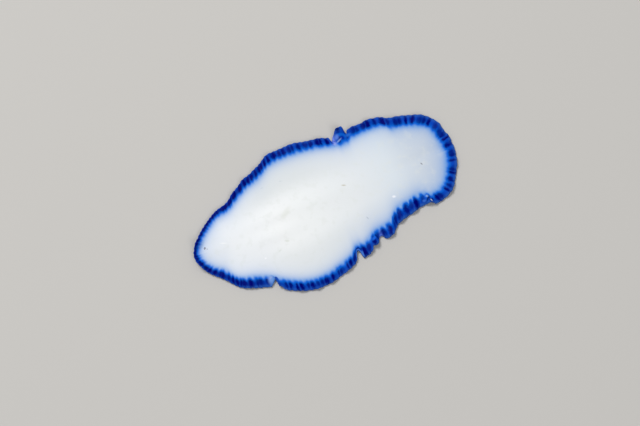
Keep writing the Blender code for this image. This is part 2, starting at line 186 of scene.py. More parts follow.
def bell(x, y, swelling):
    angle = math.radians(swelling.turn)
    along = (x - swelling.x) * math.cos(angle) + (y - swelling.y) * math.sin(angle)
    across = (y - swelling.y) * math.cos(angle) - (x - swelling.x) * math.sin(angle)
    return np.exp(-(along / swelling.half_length) ** 2 - (across / swelling.half_width) ** 2)


def relief(x, y):
    return sum(swelling.height * bell(x, y, swelling) for swelling in RELIEF)


print("relief on the throat, mm:", round(float(relief(14.0, 2.0)), 2))

# %% [markdown]
# ## Ruffles
# The margin is longer than the body that it edges, so it rises and falls in waves, and rests on the floor in
# each trough. They could be modelled one by one, but one sine along the margin gives them all, with a slow
# drift in its phase and its lower part cut off flat. A table for each side says how high they stand.

# %% Ruffles
RUFFLE_LENGTH = 3.5
RUFFLE_DRIFT = 0.3
RUFFLE_DRIFT_LENGTH = 19.0
RUFFLE_FLAT = 0.3
RUFFLE_REACH = 2.4
RUFFLE_IN_OUT = 0.05
RUFFLE_FULL = 0.4
RIGHT_RUFFLE = ((0, 0.0), (4, 0.1), (10, 0.25), (28, 0.35), (36, 0.35), (46, 0.35))
LEFT_RUFFLE = ((0, 0.0), (4, 0.15), (10, 0.3), (20, 0.3), (27, 0.4), (36, 0.45), (42, 0.4), (46, 0.35))


def fade(inset, hold, reach):
    """1 up to the inset hold, then falling smoothly to 0 where the inset passes the reach."""
    u = np.clip((reach - inset) / (reach - hold), 0, 1)
    return u * u * (3 - 2 * u)


def by_side(t, right_table, left_table):
    """A value that a table gives for each side of the margin, by x."""
    x = edge(t)[..., 0]
    return np.where(is_right(t), np.interp(x, *zip(*right_table)), np.interp(x, *zip(*left_table)))


def ruffle(t):
    """Height of the margin's wave, and how far it leans out."""
    run = from_tip(t)
    side = np.where(is_right(t), RIGHT, LEFT)
    size = by_side(t, RIGHT_RUFFLE, LEFT_RUFFLE)
    drift = RUFFLE_DRIFT * np.sin(2 * math.pi * run / RUFFLE_DRIFT_LENGTH + side)
    wave = np.sin(2 * math.pi * (run / RUFFLE_LENGTH + drift))
    rise = np.clip((wave + 1 - 2 * RUFFLE_FLAT) / (2 - 2 * RUFFLE_FLAT), 0, None)
    return size * rise, RUFFLE_IN_OUT * wave * np.clip(size / RUFFLE_FULL, 0, 1)


print("highest crest, mm:", round(float(max(ruffle(np.linspace(0, 2, 999))[0])), 2))

# %% [markdown]
# ## Folds
# Some places of the margin do more than wave: a curl stands up on the right side, and the left side has
# notches, a rolled lobe and a crossed crease. The head's rim is turned up, with two low folds, the
# pseudotentacles. They could be sculpted by hand, but as a push out or in, a shift along the margin and a
# lift, each can be moved alone. A fold dies out on the way in, a deeper one later, so the skin never doubles
# over.

# %% Folds
FRONT_TURN_UP = 0.35
FRONT_TURN_UP_LENGTH = 5.0
Fold = namedtuple("Fold", "side x out along half_width power lift")
FOLD_LEAST_REACH = 1.5
FOLD_REACH_SHARE = 1.75
FOLD_LIFT_REACH = 1.6
FOLDS = (
    Fold(RIGHT, 28.6, -0.7, 0.0, 0.22, 2, 0.0),
    Fold(RIGHT, 30.1, 0.75, 0.25, 0.85, 6, 0.85),
    Fold(RIGHT, 31.15, -0.5, 0.0, 0.26, 2, 0.0),
    Fold(LEFT, 9.75, -1.35, 0.0, 0.42, 3, 0.05),
    Fold(LEFT, 10.4, -0.4, 0.0, 0.7, 2, 0.1),
    Fold(LEFT, 23.6, -0.25, 0.0, 0.5, 2, 0.15),
    Fold(LEFT, 24.1, -1.35, 0.34, 0.4, 3, 0.1),
    Fold(LEFT, 26.95, -0.3, 0.0, 0.3, 2, 0.1),
    Fold(LEFT, 27.6, 0.1, 0.0, 0.55, 4, 0.5),
    Fold(LEFT, 28.6, -0.75, 0.1, 0.45, 3, 0.0),
    Fold(LEFT, 38.2, -0.3, 0.0, 0.6, 2, 0.3),
)
TENTACLE_AT = 2.0
TENTACLE_HALF_WIDTH = 0.75
TENTACLE_LIFT = 0.75
TENTACLE_POWER = 4


def share_of_fold(t, side, x, half_width, power):
    """1 in the middle of a fold of the margin, falling to 0 on both sides of it."""
    away = np.abs(from_tip(t) - from_tip(ring_place_at_x(side, x)))
    return np.exp(-(away / half_width) ** power) * (is_right(t) == (side == RIGHT))


def folded(t, inset):
    """How far the folds push the skin out, move it along the margin, and lift it."""
    run = from_tip(t)
    lift = FRONT_TURN_UP * np.exp(-(run / FRONT_TURN_UP_LENGTH) ** 2)
    lift += TENTACLE_LIFT * np.exp(-((run - TENTACLE_AT) / TENTACLE_HALF_WIDTH) ** TENTACLE_POWER)
    out = along = 0
    for fold in FOLDS:
        share = share_of_fold(t, fold.side, fold.x, fold.half_width, fold.power)
        felt = share * fade(inset, 0, max(FOLD_LEAST_REACH, FOLD_REACH_SHARE * abs(fold.out)))
        out = out + fold.out * felt
        along = along + fold.along * felt
        lift = lift + fold.lift * share
    return out, along, lift * fade(inset, 0, FOLD_LIFT_REACH)


print("folds:", len(FOLDS), "and the head's two; highest, mm:", max(fold.lift for fold in FOLDS))

# %% [markdown]
# ## The leaf
# The whole surface is one formula: start on the margin, go in along the ray, rise with the ruffles and
# folds, and add the flesh's thickness from the belly, level 0, to the back, level 1. The belly has a round
# recess for the sucker, and in front of it the mouth and two pores. All four are dents in the same sheet.

# %% The leaf
SUCKER_AT = (23.0, 0.1)
SUCKER_RADIUS = 1.1
SUCKER_HEIGHT = 0.5
SUCKER_ROOM, SUCKER_HEADROOM = 0.25, 0.1
Dent = namedtuple("Dent", "x y radius depth")
BELLY_DENTS = (
    Dent(*SUCKER_AT, SUCKER_RADIUS + SUCKER_ROOM, SUCKER_HEIGHT + SUCKER_HEADROOM),
    Dent(12.8, 0.4, 0.45, 0.4),
    Dent(16.8, 0.2, 0.26, 0.3),
    Dent(18.4, 0.2, 0.22, 0.25),
)
DENT_FLAT, DENT_BRIM = 0.75, 1.35


def dented(x, y):
    """How far the belly's dents reach up at x and y."""
    total = 0
    for dent in BELLY_DENTS:
        away = np.hypot(x - dent.x, y - dent.y) / dent.radius
        total = np.maximum(total, dent.depth * fade(away, DENT_FLAT, DENT_BRIM))
    return total


def flesh(t, inset, level):
    """Places of the worm's surface, in millimetres."""
    start = edge(t)
    ray = foot(t) - start
    ray_length = np.linalg.norm(ray, axis=-1)
    wave_lift, wave_out = ruffle(t)
    fold_out, fold_along, fold_lift = folded(t, inset)
    wave_fade = fade(inset, 0, RUFFLE_REACH)
    ahead = tangent(t) * np.where(is_right(t), 1, -1)[..., None]
    push = outward(t) * (wave_out * wave_fade + fold_out)[..., None] + ahead * fold_along[..., None]
    plan = start + ray * (inset / ray_length)[..., None] + push
    x, y = plan[..., 0], plan[..., 1]
    lift = wave_lift * wave_fade + fold_lift
    share = 1 - inset / ray_length
    crown = (1 - share ** 2) * (1 - CROWN_FALL * share ** 2)
    thick = EDGE_THICK + (np.interp(x, *zip(*HEIGHT)) - EDGE_THICK) * crown + relief(x, y)
    return np.stack([x, y, lift + level * thick + (1 - level) * dented(x, y)], -1)


middle = flesh(np.array([0.5]), np.array([10.0]), np.array([1.0]))[0]
print("middle of the back, mm:", middle.round(2))

# %% [markdown]
# ## The skin's columns
# One closed skin covers the whole animal, so that no parting line of the solids shows. It is a sheet of
# columns, one for each ring place, and rows. The columns could be spaced evenly, but a fold turns sharply, so
# they crowd together there. Both sides get the same ones, so that they meet on the midline.

# %% Columns of the sheet
COLUMNS = 1380
FINE_STEPS = 6001
CROWDING, CROWDING_REACH = 2.2, 1.5


def ring_columns(count):
    """Ring places of the columns, alike on both sides, and closer together where the margin folds."""
    fine = np.linspace(0, 1, FINE_STEPS)
    crowd = np.ones_like(fine)
    for fold in FOLDS:
        for t in (fine, -fine):
            crowd += CROWDING * share_of_fold(t, fold.side, fold.x, fold.half_width * CROWDING_REACH, 2)
    total = np.concatenate([[0], np.cumsum(0.5 * (crowd[1:] + crowd[:-1]))])
    half = np.interp(np.linspace(0, total[-1], count // 2 + 1), total, fine)
    return np.concatenate([half, 2 - half[-2:0:-1]])


ring = ring_columns(COLUMNS)
print("columns:", len(ring))

# %% [markdown]
# ## The skin's rows
# The rows run from the belly's midline out to the margin, round the rim and back over the top to the
# midline, where equal points are welded later. They lie closest in the blue band, where the colours and the
# pleats are finest. Two tables say how wide the band is along each side.

# %% Rows of the sheet
EDGE_ROUND = 0.26
BELLY_EASE, BACK_EASE = 1.8, 1.3
BELLY_ROWS, BAND_UNDER_ROWS, RIM_ROWS, BAND_TOP_ROWS, BACK_ROWS = 13, 6, 7, 17, 25
RIGHT_BAND = (
    (0, 0.66), (6, 0.77), (10, 1.3), (15, 1.45), (23, 1.45), (26, 1.35), (28.9, 1.35), (29.6, 1.75),
    (31.0, 1.75), (31.6, 1.38), (34, 1.38), (37, 1.5), (40, 1.7), (46, 1.6))
LEFT_BAND = (
    (0, 0.78), (3, 1.16), (7, 1.5), (9.3, 1.42), (10.3, 1.54), (11.8, 1.46), (14, 1.35), (17, 1.26),
    (21, 1.26), (23, 1.34), (23.8, 2.1), (24.8, 2.0), (25.3, 1.62), (28.5, 1.68), (31, 1.77), (34, 1.9),
    (37, 1.67), (38.4, 1.7), (39.6, 1.41), (46, 1.4))
BAND_MARGIN = 0.4


def skin_rows(band, ray_length):
    """Inset and level of every row, for columns with these band widths and ray lengths."""
    band = band + BAND_MARGIN
    inner = ray_length - band
    rows = [(ray_length - inner * (k / BELLY_ROWS) ** BELLY_EASE, 0.0) for k in range(BELLY_ROWS)]
    rows += [(band + (EDGE_ROUND - band) * k / BAND_UNDER_ROWS, 0.0) for k in range(BAND_UNDER_ROWS)]
    for k in range(RIM_ROWS + 1):
        angle = math.pi * (k / RIM_ROWS - 0.5)
        rim = np.full_like(band, EDGE_ROUND * (1 - math.cos(angle)))
        rows.append((rim, 0.5 + 0.5 * math.sin(angle)))
    rows += [(EDGE_ROUND + (band - EDGE_ROUND) * k / BAND_TOP_ROWS, 1.0) for k in range(1, BAND_TOP_ROWS + 1)]
    rows += [(band + inner * (k / BACK_ROWS) ** BACK_EASE, 1.0) for k in range(1, BACK_ROWS + 1)]
    insets, levels = zip(*rows)
    return np.stack(insets, 1), np.array(levels)


band_width = by_side(ring, RIGHT_BAND, LEFT_BAND)
ray_length = np.linalg.norm(foot(ring) - edge(ring), axis=-1)
insets, row_levels = skin_rows(band_width, ray_length)
ROWS = len(row_levels)
levels = np.broadcast_to(row_levels, insets.shape)
surface = flesh(np.repeat(ring[:, None], ROWS, 1), insets, levels)
lowest, highest = surface.min((0, 1)), surface.max((0, 1))
CENTRE = np.array([(lowest[0] + highest[0]) / 2, (lowest[1] + highest[1]) / 2, 0])
print("sheet:", COLUMNS, "columns,", ROWS, "rows; size, mm:", (highest - lowest).round(2))

# %% [markdown]
# ## The band's tables
# The blue band isn't alike all round. At the head its spots lie closer and run together, the inner edge is
# most scalloped on the left rear, and the rim is paler where it thins out. These could be painted by eye, but
# in tables any one can be changed alone. At three creases the skin is tender: paler, with fewer spots.

# %% Tables of the band
RIGHT_STEP = ((0, 0.7), (8, 0.72), (14, 0.78), (22, 0.9), (30, 1.05), (46, 1.1))
LEFT_STEP = ((0, 0.8), (9, 0.9), (20, 0.9), (30, 1.1), (46, 1.1))
RIGHT_DARK = (
    (0, 1.0), (8, 0.97), (14, 0.76), (18, 0.56), (24, 0.4), (29.2, 0.4), (29.8, 0.0), (31, 0.0), (31.6, 0.45),
    (34, 0.45), (40, 0.4), (46, 0.3))
LEFT_DARK = (
    (0, 0.92), (4, 0.86), (8, 0.7), (12, 0.45), (20, 0.4), (26, 0.36), (31, 0.1), (37, 0.05), (40, 0.35),
    (46, 0.35))
RIGHT_SCALLOP = ((0, 0.04), (8, 0.09), (14, 0.14), (22, 0.14), (30, 0.1), (46, 0.08))
LEFT_SCALLOP = (
    (0, 0.08), (3, 0.15), (6, 0.17), (14, 0.12), (20, 0.12), (28, 0.2), (32, 0.42), (37, 0.35), (41, 0.12),
    (46, 0.08))
RIGHT_RIM = ((0, 0.0), (8, 0.0), (14, 0.3), (24, 0.6), (36, 0.5), (42, 0.9), (46, 0.9))
LEFT_RIM = (
    (0, 0.0), (4, 0.2), (6, 0.85), (9, 0.85), (13, 0.5), (20, 0.5), (23.3, 0.6), (23.65, 1.2), (24.75, 1.2),
    (25.1, 0.6), (28, 0.75), (32, 0.92), (46, 0.92))
Pale = namedtuple("Pale", "side x half_width strength")
PALE_PLACES = (
    Pale(LEFT, 9.58, 0.5, 0.75),
    Pale(LEFT, 28.7, 0.3, 0.5),
    Pale(RIGHT, 28.85, 0.3, 1.0),
)
PALE_POWER = 2


def spot_numbers(t):
    """The number of spots passed on the way round to the ring places t, a whole number after a full turn."""
    ends = np.append(t, 2)
    place = edge(ends)
    length = np.linalg.norm(np.diff(place, axis=0), axis=1)
    passed = np.concatenate([[0], np.cumsum(length / by_side(t, RIGHT_STEP, LEFT_STEP))])
    whole = round(float(passed[-1]))
    return passed[:-1] * whole / passed[-1], whole


spot_number, SPOTS = spot_numbers(ring)
band_values = {
    "band_width": band_width,
    "darkness": by_side(ring, RIGHT_DARK, LEFT_DARK),
    "scallop": by_side(ring, RIGHT_SCALLOP, LEFT_SCALLOP),
    "pale_rim": by_side(ring, RIGHT_RIM, LEFT_RIM),
    "tender": sum(
        pale.strength * share_of_fold(ring, pale.side, pale.x, pale.half_width, PALE_POWER)
        for pale in PALE_PLACES),
}
print("spots round the margin:", SPOTS)
print("width of the band, mm:", band_width.min().round(2), "to", band_width.max().round(2))

# %% [markdown]
# ## The skin as a mesh
# Arrays become a mesh with from_pydata. The spots are numbered round the margin, and the numbers jump back to
# 0 at the head tip. An attribute of the points would smear there, so they are kept in a UV map, which holds
# a value for each corner of a face. All else, such as the band's width, is an attribute of the points.

# %% Make the skin's mesh
WELD = 5e-9


def mesh_of_sheet(name, points, columns, rows):
    """A mesh of a sheet whose last column joins its first."""
    index = np.arange(columns * rows).reshape(columns, rows)
    after = np.roll(index, -1, 0)
    faces = np.stack([index[:, :-1], after[:, :-1], after[:, 1:], index[:, 1:]], -1).reshape(-1, 4)
    mesh = bpy.data.meshes.new(name)
    mesh.from_pydata(points.reshape(-1, 3).tolist(), [], faces.tolist())
    return mesh


def add_values(mesh, name, values):
    attribute = mesh.attributes.new(name, "FLOAT", "POINT")
    attribute.data.foreach_set("value", np.ascontiguousarray(values, dtype=np.float32).ravel())


def add_band_map(mesh, number, inset):
    """A UV map of the band: u the number of the spot, counted round the margin, v millimetres in from it."""
    layer = mesh.uv_layers.new(name="band")
    corner = np.zeros(len(mesh.loops), dtype=np.int64)
    mesh.loops.foreach_get("vertex_index", corner)
    u = number.ravel()[corner].reshape(-1, 4)
    u = np.where((u.max(1, keepdims=True) - u) > SPOTS / 2, u + SPOTS, u)
    v = inset.ravel()[corner]
    layer.uv.foreach_set("vector", np.stack([u.ravel(), v], -1).astype(np.float32).ravel())


def weld(mesh):
    bm = bmesh.new()
    bm.from_mesh(mesh)
    bmesh.ops.remove_doubles(bm, verts=bm.verts, dist=WELD)
    bmesh.ops.recalc_face_normals(bm, faces=bm.faces)
    print("open edges:", sum(not edge.is_manifold for edge in bm.edges))
    bm.to_mesh(mesh)
    bm.free()


skin_mesh = mesh_of_sheet("skin", (surface - CENTRE) * MM, COLUMNS, ROWS)
per_row = np.ones(ROWS)
add_values(skin_mesh, "turn", spot_number[:, None] / SPOTS * per_row)
add_values(skin_mesh, "inset", insets)
add_values(skin_mesh, "across", insets / ray_length[:, None])
add_values(skin_mesh, "back", levels)
for name, values in band_values.items():
    add_values(skin_mesh, name, values[:, None] * per_row)
add_band_map(skin_mesh, spot_number[:, None] * per_row, insets)
weld(skin_mesh)
skin_mesh.shade_smooth()
print("skin:", len(skin_mesh.vertices), "points,", len(skin_mesh.polygons), "faces")

# %% [markdown]
# ## Wires
# Materials and Geometry Nodes are node trees. Wiring them node by node hides the maths, so one small class
# wraps a socket and lets + - * / and ** add Math nodes, also with a plain number on either side of the sign.

# %% A wire
def both_ways(operation):
    """A pair of methods for one sign: with the wire on its left, and on its right."""
    return (lambda wire, other: wire.bench.math(operation, wire, other),
            lambda wire, other: wire.bench.math(operation, other, wire))


class Wire:
    """One output of a node, which can be used in sums."""

    def __init__(self, bench, socket):
        self.bench = bench
        self.socket = socket

    __add__, __radd__ = both_ways("ADD")
    __sub__, __rsub__ = both_ways("SUBTRACT")
    __mul__, __rmul__ = both_ways("MULTIPLY")
    __truediv__, __rtruediv__ = both_ways("DIVIDE")
    __pow__, __rpow__ = both_ways("POWER")

    def output(self, name):
        """Another output of the same node."""
        return Wire(self.bench, self.socket.node.outputs[name])


print("signs of a wire: + - * / **")

# %% [markdown]
# ## The bench
# All other nodes come from a bench: a node's type, its settings, and then the values or wires of its
# sockets. Colours and vectors go through Mix and Vector Math, and a soft step is a Map Range, so each of
# these has a short method.

# %% A bench
class Bench:
    """A node tree under construction."""

    def __init__(self, tree):
        self.tree = tree

    def add(self, kind, settings=(), values=(), output=0):
        """Adds a node, sets it up, joins its inputs, and gives one of its outputs."""
        node = self.tree.nodes.new(kind)
        for name, value in dict(settings).items():
            setattr(node, name, value)
        for key, value in dict(values).items():
            self.join(value, node.inputs[key])
        return Wire(self, node.outputs[output]) if node.outputs else node

    def join(self, value, socket):
        if isinstance(value, Wire):
            self.tree.links.new(value.socket, socket)
        else:
            socket.default_value = value

    def math(self, operation, *values):
        return self.add("ShaderNodeMath", {"operation": operation}, enumerate(values))

    def vector(self, operation, *values, output=0):
        return self.add("ShaderNodeVectorMath", {"operation": operation}, enumerate(values), output)

    def mix(self, share, first, second):
        """A colour between two colours."""
        return self.add("ShaderNodeMix", {"data_type": "RGBA"}, {0: share, 6: first, 7: second}, 2)

    def step(self, value, start, end):
        """0 to 1, smoothly, as the value goes from start to end."""
        return self.add("ShaderNodeMapRange", {"interpolation_type": "SMOOTHSTEP"},
                        {0: value, 1: start, 2: end})

    def noise(self, place, scale):
        return self.add("ShaderNodeTexNoise", {}, {"Vector": place, "Scale": scale, "Detail": 2.0})


print("the bench makes:", [name for name in vars(Bench) if not name.startswith("_")])

# %% [markdown]
# ## Paints
# A shader works in linear values, which are hard to picture. So colours are noted as they look on a screen,
# from 0 to 255, and turned. The studio light makes a surface a little brighter than its paint, and
# LIGHT_GAIN takes that out.

# %% Paints
LIGHT_GAIN = 1.09


def paint(red, green, blue):
    """A paint that looks like this screen colour under the studio light."""
    linear = [(c / 255 / 1.055 + 0.0521327) ** 2.4 if c > 10 else c / 255 / 12.92 for c in (red, green, blue)]
    return (*[c / LIGHT_GAIN for c in linear], 1)


AZURE = paint(14, 104, 216)
DEEP_BLUE = paint(5, 76, 198)
NAVY = paint(0, 4, 108)
RIM_BLUE = paint(44, 92, 176)
PALE_BLUE = paint(98, 148, 218)
PERIWINKLE = paint(112, 138, 238)
GLOW = paint(24, 134, 223)
print("azure as a linear paint:", [round(c, 3) for c in AZURE[:3]])

# %% [markdown]
# ## Marks
# The skin has a few small flecks and scars on the back, and three white spots there are painted highlights,
# glints of the wet skin. Where the margin is folded there are painted highlights too, dark lines, painted
# shade in a slit, and light painted onto shaded walls. They could be painted on an image, but each is only a
# few millimetres long and nearly an ellipse, so a mark is a place, two half lengths, a turn and a colour,
# laid over the rest with a soft edge.

# %% Marks on the skin
Mark = namedtuple("Mark", "x y half_length half_width turn strength colour")
FLECKS_AND_HIGHLIGHTS = (
    # The first three are painted highlights: white glints on the wet back.
    Mark(33.4, -3.6, 0.32, 0.2, -20, 1.0, (255, 255, 255)),
    Mark(10.4, -3.7, 0.17, 0.15, 0, 0.9, (255, 255, 255)),
    Mark(5.36, 1.47, 0.55, 0.09, -26, 0.7, (255, 255, 252)),
    Mark(26.86, 1.55, 0.4, 0.14, -26, 0.7, (196, 190, 168)),
    Mark(39.84, -0.67, 0.24, 0.1, -65, 0.9, (128, 128, 132)),
    Mark(28.0, -4.9, 0.28, 0.1, -70, 0.6, (178, 186, 196)),
    Mark(16.5, 1.5, 1.3, 0.5, 35, 0.4, (226, 228, 218)),
    Mark(14.8, 7.0, 0.25, 0.12, 0, 0.5, (205, 212, 214)),
    Mark(18.0, 6.7, 0.25, 0.12, -20, 0.5, (205, 212, 214)),
    Mark(14.7, -2.7, 0.4, 0.16, -26, 0.6, (218, 222, 210)),
    Mark(13.0, -3.6, 0.35, 0.16, 10, 0.5, (222, 226, 218)),
)
BAND_MARKS_AND_PAINTED_LIGHT = (
    Mark(27.5, -8.3, 0.5, 0.26, 25, 0.85, (30, 104, 224)),
    Mark(27.15, -7.75, 0.6, 0.14, 20, 0.8, (0, 16, 92)),
    Mark(27.95, -8.1, 0.14, 0.5, 20, 0.7, (0, 16, 92)),
    Mark(10.6, -7.8, 0.8, 0.25, -85, 0.6, (24, 86, 196)),
    # Partly the pale limb of the left front notch, partly painted light that lifts the shade of its steep
    # wall.
    Mark(9.72, -7.0, 0.8, 0.45, 58, 0.5, (142, 182, 240)),
    Mark(30.2, 9.35, 0.85, 0.3, -20, 0.85, (14, 108, 222)),
    Mark(30.65, 8.8, 0.3, 0.5, 20, 0.7, (8, 92, 212)),
    Mark(30.25, 8.85, 0.3, 0.4, 20, 0.85, (0, 40, 160)),
    Mark(29.38, 9.32, 0.42, 0.42, 30, 0.8, (104, 144, 236)),
    Mark(30.0, 10.4, 0.5, 0.3, -10, 0.85, (0, 15, 88)),
    # A painted highlight: the pale glint streak at the foot of the curl.
    Mark(29.5, 8.66, 0.6, 0.14, 20, 0.5, (176, 204, 245)),
    # A painted shadow: the dark slit beside the curl.
    Mark(28.75, 9.0, 0.32, 0.06, -60, 0.7, (66, 62, 92)),
    # Painted light: the steep wall of the notch behind the curl is lightened against its shade.
    Mark(31.25, 8.95, 0.55, 0.3, 0, 0.6, (50, 124, 224)),
    Mark(38.4, -6.05, 0.9, 0.6, 0, 0.7, (28, 98, 212)),
    Mark(38.5, -6.0, 0.6, 0.1, 28, 0.85, (0, 18, 92)),
    Mark(38.4, -6.05, 0.9, 0.1, -76, 0.85, (0, 18, 92)),
    Mark(38.62, -5.85, 0.35, 0.14, -70, 0.8, (0, 20, 104)),
    Mark(37.95, -5.5, 0.35, 0.16, -60, 0.8, (0, 20, 116)),
    # A painted highlight: the upper glint of the crossed crease.
    Mark(38.2, -5.74, 0.32, 0.22, -50, 0.85, (140, 180, 236)),
    Mark(38.1, -6.35, 0.42, 0.16, 41, 0.85, (0, 26, 96)),
    Mark(38.83, -6.68, 0.34, 0.14, 82, 0.8, (0, 30, 118)),
    Mark(37.53, -6.31, 0.35, 0.22, -20, 0.5, (76, 136, 230)),
    # A painted highlight: the lower glint of the crossed crease.
    Mark(38.57, -6.75, 0.26, 0.1, -76, 0.9, (206, 222, 246)),
)
MARK_OUTSIDE, MARK_INSIDE = 1.4, 0.3


def mark_share(bench, place, mark):
    """1 inside the ellipse of a mark, falling to 0 outside it."""
    nearer = bench.add("ShaderNodeMapping", {"vector_type": "TEXTURE"}, {
        "Vector": place, "Location": (mark.x, mark.y, 0), "Rotation": (0, 0, math.radians(mark.turn)),
        "Scale": (mark.half_length, mark.half_width, 1)})
    flat = bench.vector("MULTIPLY", nearer, (1, 1, 0))
    away = bench.vector("LENGTH", flat, output="Value")
    return bench.step(away, MARK_OUTSIDE, MARK_INSIDE) * mark.strength


def with_marks(bench, skin, colour, marks):
    """The colour with the marks laid over it, on the upper side only."""
    for mark in marks:
        colour = bench.mix(mark_share(bench, skin.place, mark) * skin.back, colour, paint(*mark.colour))
    return colour


print("marks:", len(FLECKS_AND_HIGHLIGHTS), "on the back and", len(BAND_MARKS_AND_PAINTED_LIGHT), "in the band")

# %% [markdown]
# ## What the material reads
# A material sees one point of the skin at a time. It reads the numbers that the mesh brings for it, and its
# place in millimetres. Noises are laid over them, because no line on an animal is ruled: a broad wobble, a
# fine one, and streaks that run across the band.

# %% Read the skin
WOBBLE_PER_MM, FINE_PER_MM = 0.9, 3.5
STREAKS_PER_SPOT, STREAKS_PER_MM = 3.0, 0.6
DEPTH_WOBBLE, DEPTH_FINE = 0.2, 0.12
TENDER_DEPTH = (2.0, 0.9)
FROM_MESH = ("across", "back", *band_values)


def read_skin(bench):
    """The wires that the steps below share. The depth is the inset with a little noise on it."""
    skin = SimpleNamespace()
    band_map = bench.add("ShaderNodeUVMap", {"uv_map": "band"})
    skin.around = bench.add("ShaderNodeSeparateXYZ", {}, {0: band_map})
    skin.inset = skin.around.output("Y")
    for name in FROM_MESH:
        setattr(skin, name, bench.add("ShaderNodeAttribute", {"attribute_name": name}, {}, "Fac"))
    on_object = bench.add("ShaderNodeTexCoord", {}, {}, "Object")
    skin.place = bench.vector("MULTIPLY_ADD", on_object, (1 / MM,) * 3, tuple(CENTRE))
    skin.x = bench.add("ShaderNodeSeparateXYZ", {}, {0: skin.place})
    skin.y = skin.x.output("Y")
    skin.wobble = bench.noise(skin.place, WOBBLE_PER_MM) - 0.5
    skin.fine = bench.noise(skin.place, FINE_PER_MM) - 0.5
    grain = bench.add("ShaderNodeCombineXYZ", {}, {
        "X": skin.around * STREAKS_PER_SPOT, "Y": skin.inset * STREAKS_PER_MM})
    skin.streak = bench.noise(grain, 1.0) - 0.5
    skin.tender = skin.tender * bench.step(skin.inset, *TENDER_DEPTH)
    skin.depth = skin.inset + skin.wobble * DEPTH_WOBBLE + skin.fine * DEPTH_FINE
    return skin


print("values from the mesh:", ", ".join(FROM_MESH))

# %% [markdown]
# ## Spots
# The blue band is navy spots on azure, each drawn out across the band. About 120 could be placed by hand, but
# a one-dimensional Voronoi texture along the margin gives each its place and three random numbers, for its
# middle, its width, and its length and strength. The spot is an ellipse there, frayed by the streaks. At the
# head the spots also run together along the band's heart.

# %% Spots and the dark heart of the band
SPOT_UNEVEN = 0.75
SPOT_WANDER = 0.7
SPOT_HALF_WIDTH, SPOT_WIDTH_LUCK = 0.41, 0.32
SPOT_HALF_LENGTH, SPOT_LENGTH_LUCK = 0.45, 0.2
SPOT_STRENGTH, SPOT_STRENGTH_LUCK = 0.86, 0.42
SPOT_OUTSIDE, SPOT_INSIDE = 1.45, 0.3
SPOT_PLACE_LUCK = 0.16
WIDER_IF_DARK, STRONGER_IF_DARK = 0.06, 0.12
HEART_AT, FURTHER_IF_DARK, FURTHER_IF_PALE = 0.45, 0.08, 0.14
HEART_OUTSIDE, HEART_INSIDE = 0.6, 0.2
HEART_STRENGTH, HEART_IF_DARK = 0.16, 0.68


def spots_in_band(bench, skin):
    """How dark the band is at a point, and how far away the next spot's middle lies."""
    spot = bench.add("ShaderNodeTexVoronoi", {"voronoi_dimensions": "1D"}, {
        "W": skin.around + skin.wobble * SPOT_WANDER, "Scale": 1.0, "Randomness": SPOT_UNEVEN}, "Distance")
    luck = bench.add("ShaderNodeSeparateXYZ", {}, {0: spot.output("Color")})
    heart = skin.band_width * (HEART_AT + skin.darkness * FURTHER_IF_DARK + skin.pale_rim * FURTHER_IF_PALE)
    middle = heart + skin.band_width * (luck.output("Y") - 0.5) * SPOT_PLACE_LUCK
    half_width = SPOT_HALF_WIDTH + skin.darkness * WIDER_IF_DARK + (luck - 0.5) * SPOT_WIDTH_LUCK
    half_length = skin.band_width * (SPOT_HALF_LENGTH + luck.output("Z") * SPOT_LENGTH_LUCK)
    off_centre = bench.math("SQRT", (spot / half_width) ** 2 + ((skin.depth - middle) / half_length) ** 2)
    frayed = off_centre + skin.streak + skin.fine * 0.6
    strength = SPOT_STRENGTH + skin.darkness * STRONGER_IF_DARK
    strength = strength + (luck.output("Z") - 0.5) * SPOT_STRENGTH_LUCK
    spots = bench.step(frayed, SPOT_OUTSIDE, SPOT_INSIDE) * bench.math("MINIMUM", strength, 1.0)
    off_heart = bench.math("ABSOLUTE", skin.depth - heart) / skin.band_width + skin.streak * 0.25
    core = bench.step(off_heart, HEART_OUTSIDE, HEART_INSIDE)
    core = core * (HEART_STRENGTH + skin.darkness ** 2 * HEART_IF_DARK)
    return (1 - (1 - spots) * (1 - core)) * (1 - skin.tender), spot


print("a spot is", round(2 * SPOT_HALF_WIDTH, 2), "of the step between two spots wide")

# %% [markdown]
# ## The band's inner edge
# The band doesn't end at a line. Its edge bulges inwards at each spot, and beyond it the pigment thins out to
# a glow in the pale skin. A straight blend would end too suddenly, but one over a power of the distance falls
# steeply first and then slowly, as the real glow does.

# %% Edge and glow
BULGE_AT_SPOT, BULGE_FRAY, BULGE_REACH = (0.62, 0.05), 1.5, 0.9
EDGE_PAST = (0.16, -0.4)
GLOW_WIDTH, GLOW_START, GLOW_POWER = 0.87, 0.1, 2.1
GLOW_LOSS_TAIL, GLOW_TAIL_X = 0.1, (28.0, 40.0)
GLOW_LOSS_HEAD, GLOW_HEAD_X = 0.2, (9.0, 3.0)


def edge_and_glow(bench, skin, spot):
    """Distance past the band's edge, the share of band colour, and the share of glow on the back."""
    bulge = (bench.step(spot, *BULGE_AT_SPOT) * 2 - 1 + skin.streak * BULGE_FRAY) * skin.scallop
    beyond = skin.depth - skin.band_width
    past = beyond - bulge * bench.step(beyond, BULGE_REACH, 0.0)
    blue = bench.step(past, *EDGE_PAST)
    loss = bench.step(skin.x, *GLOW_TAIL_X) * GLOW_LOSS_TAIL
    loss = loss + bench.step(skin.x, *GLOW_HEAD_X) * GLOW_LOSS_HEAD
    glow = 1 / (1 + (bench.math("MAXIMUM", past + GLOW_START, 0.0) / (GLOW_WIDTH - loss)) ** GLOW_POWER)
    return past, blue, glow


print("half of the glow is left", round(GLOW_WIDTH - GLOW_START, 2), "mm past the band")
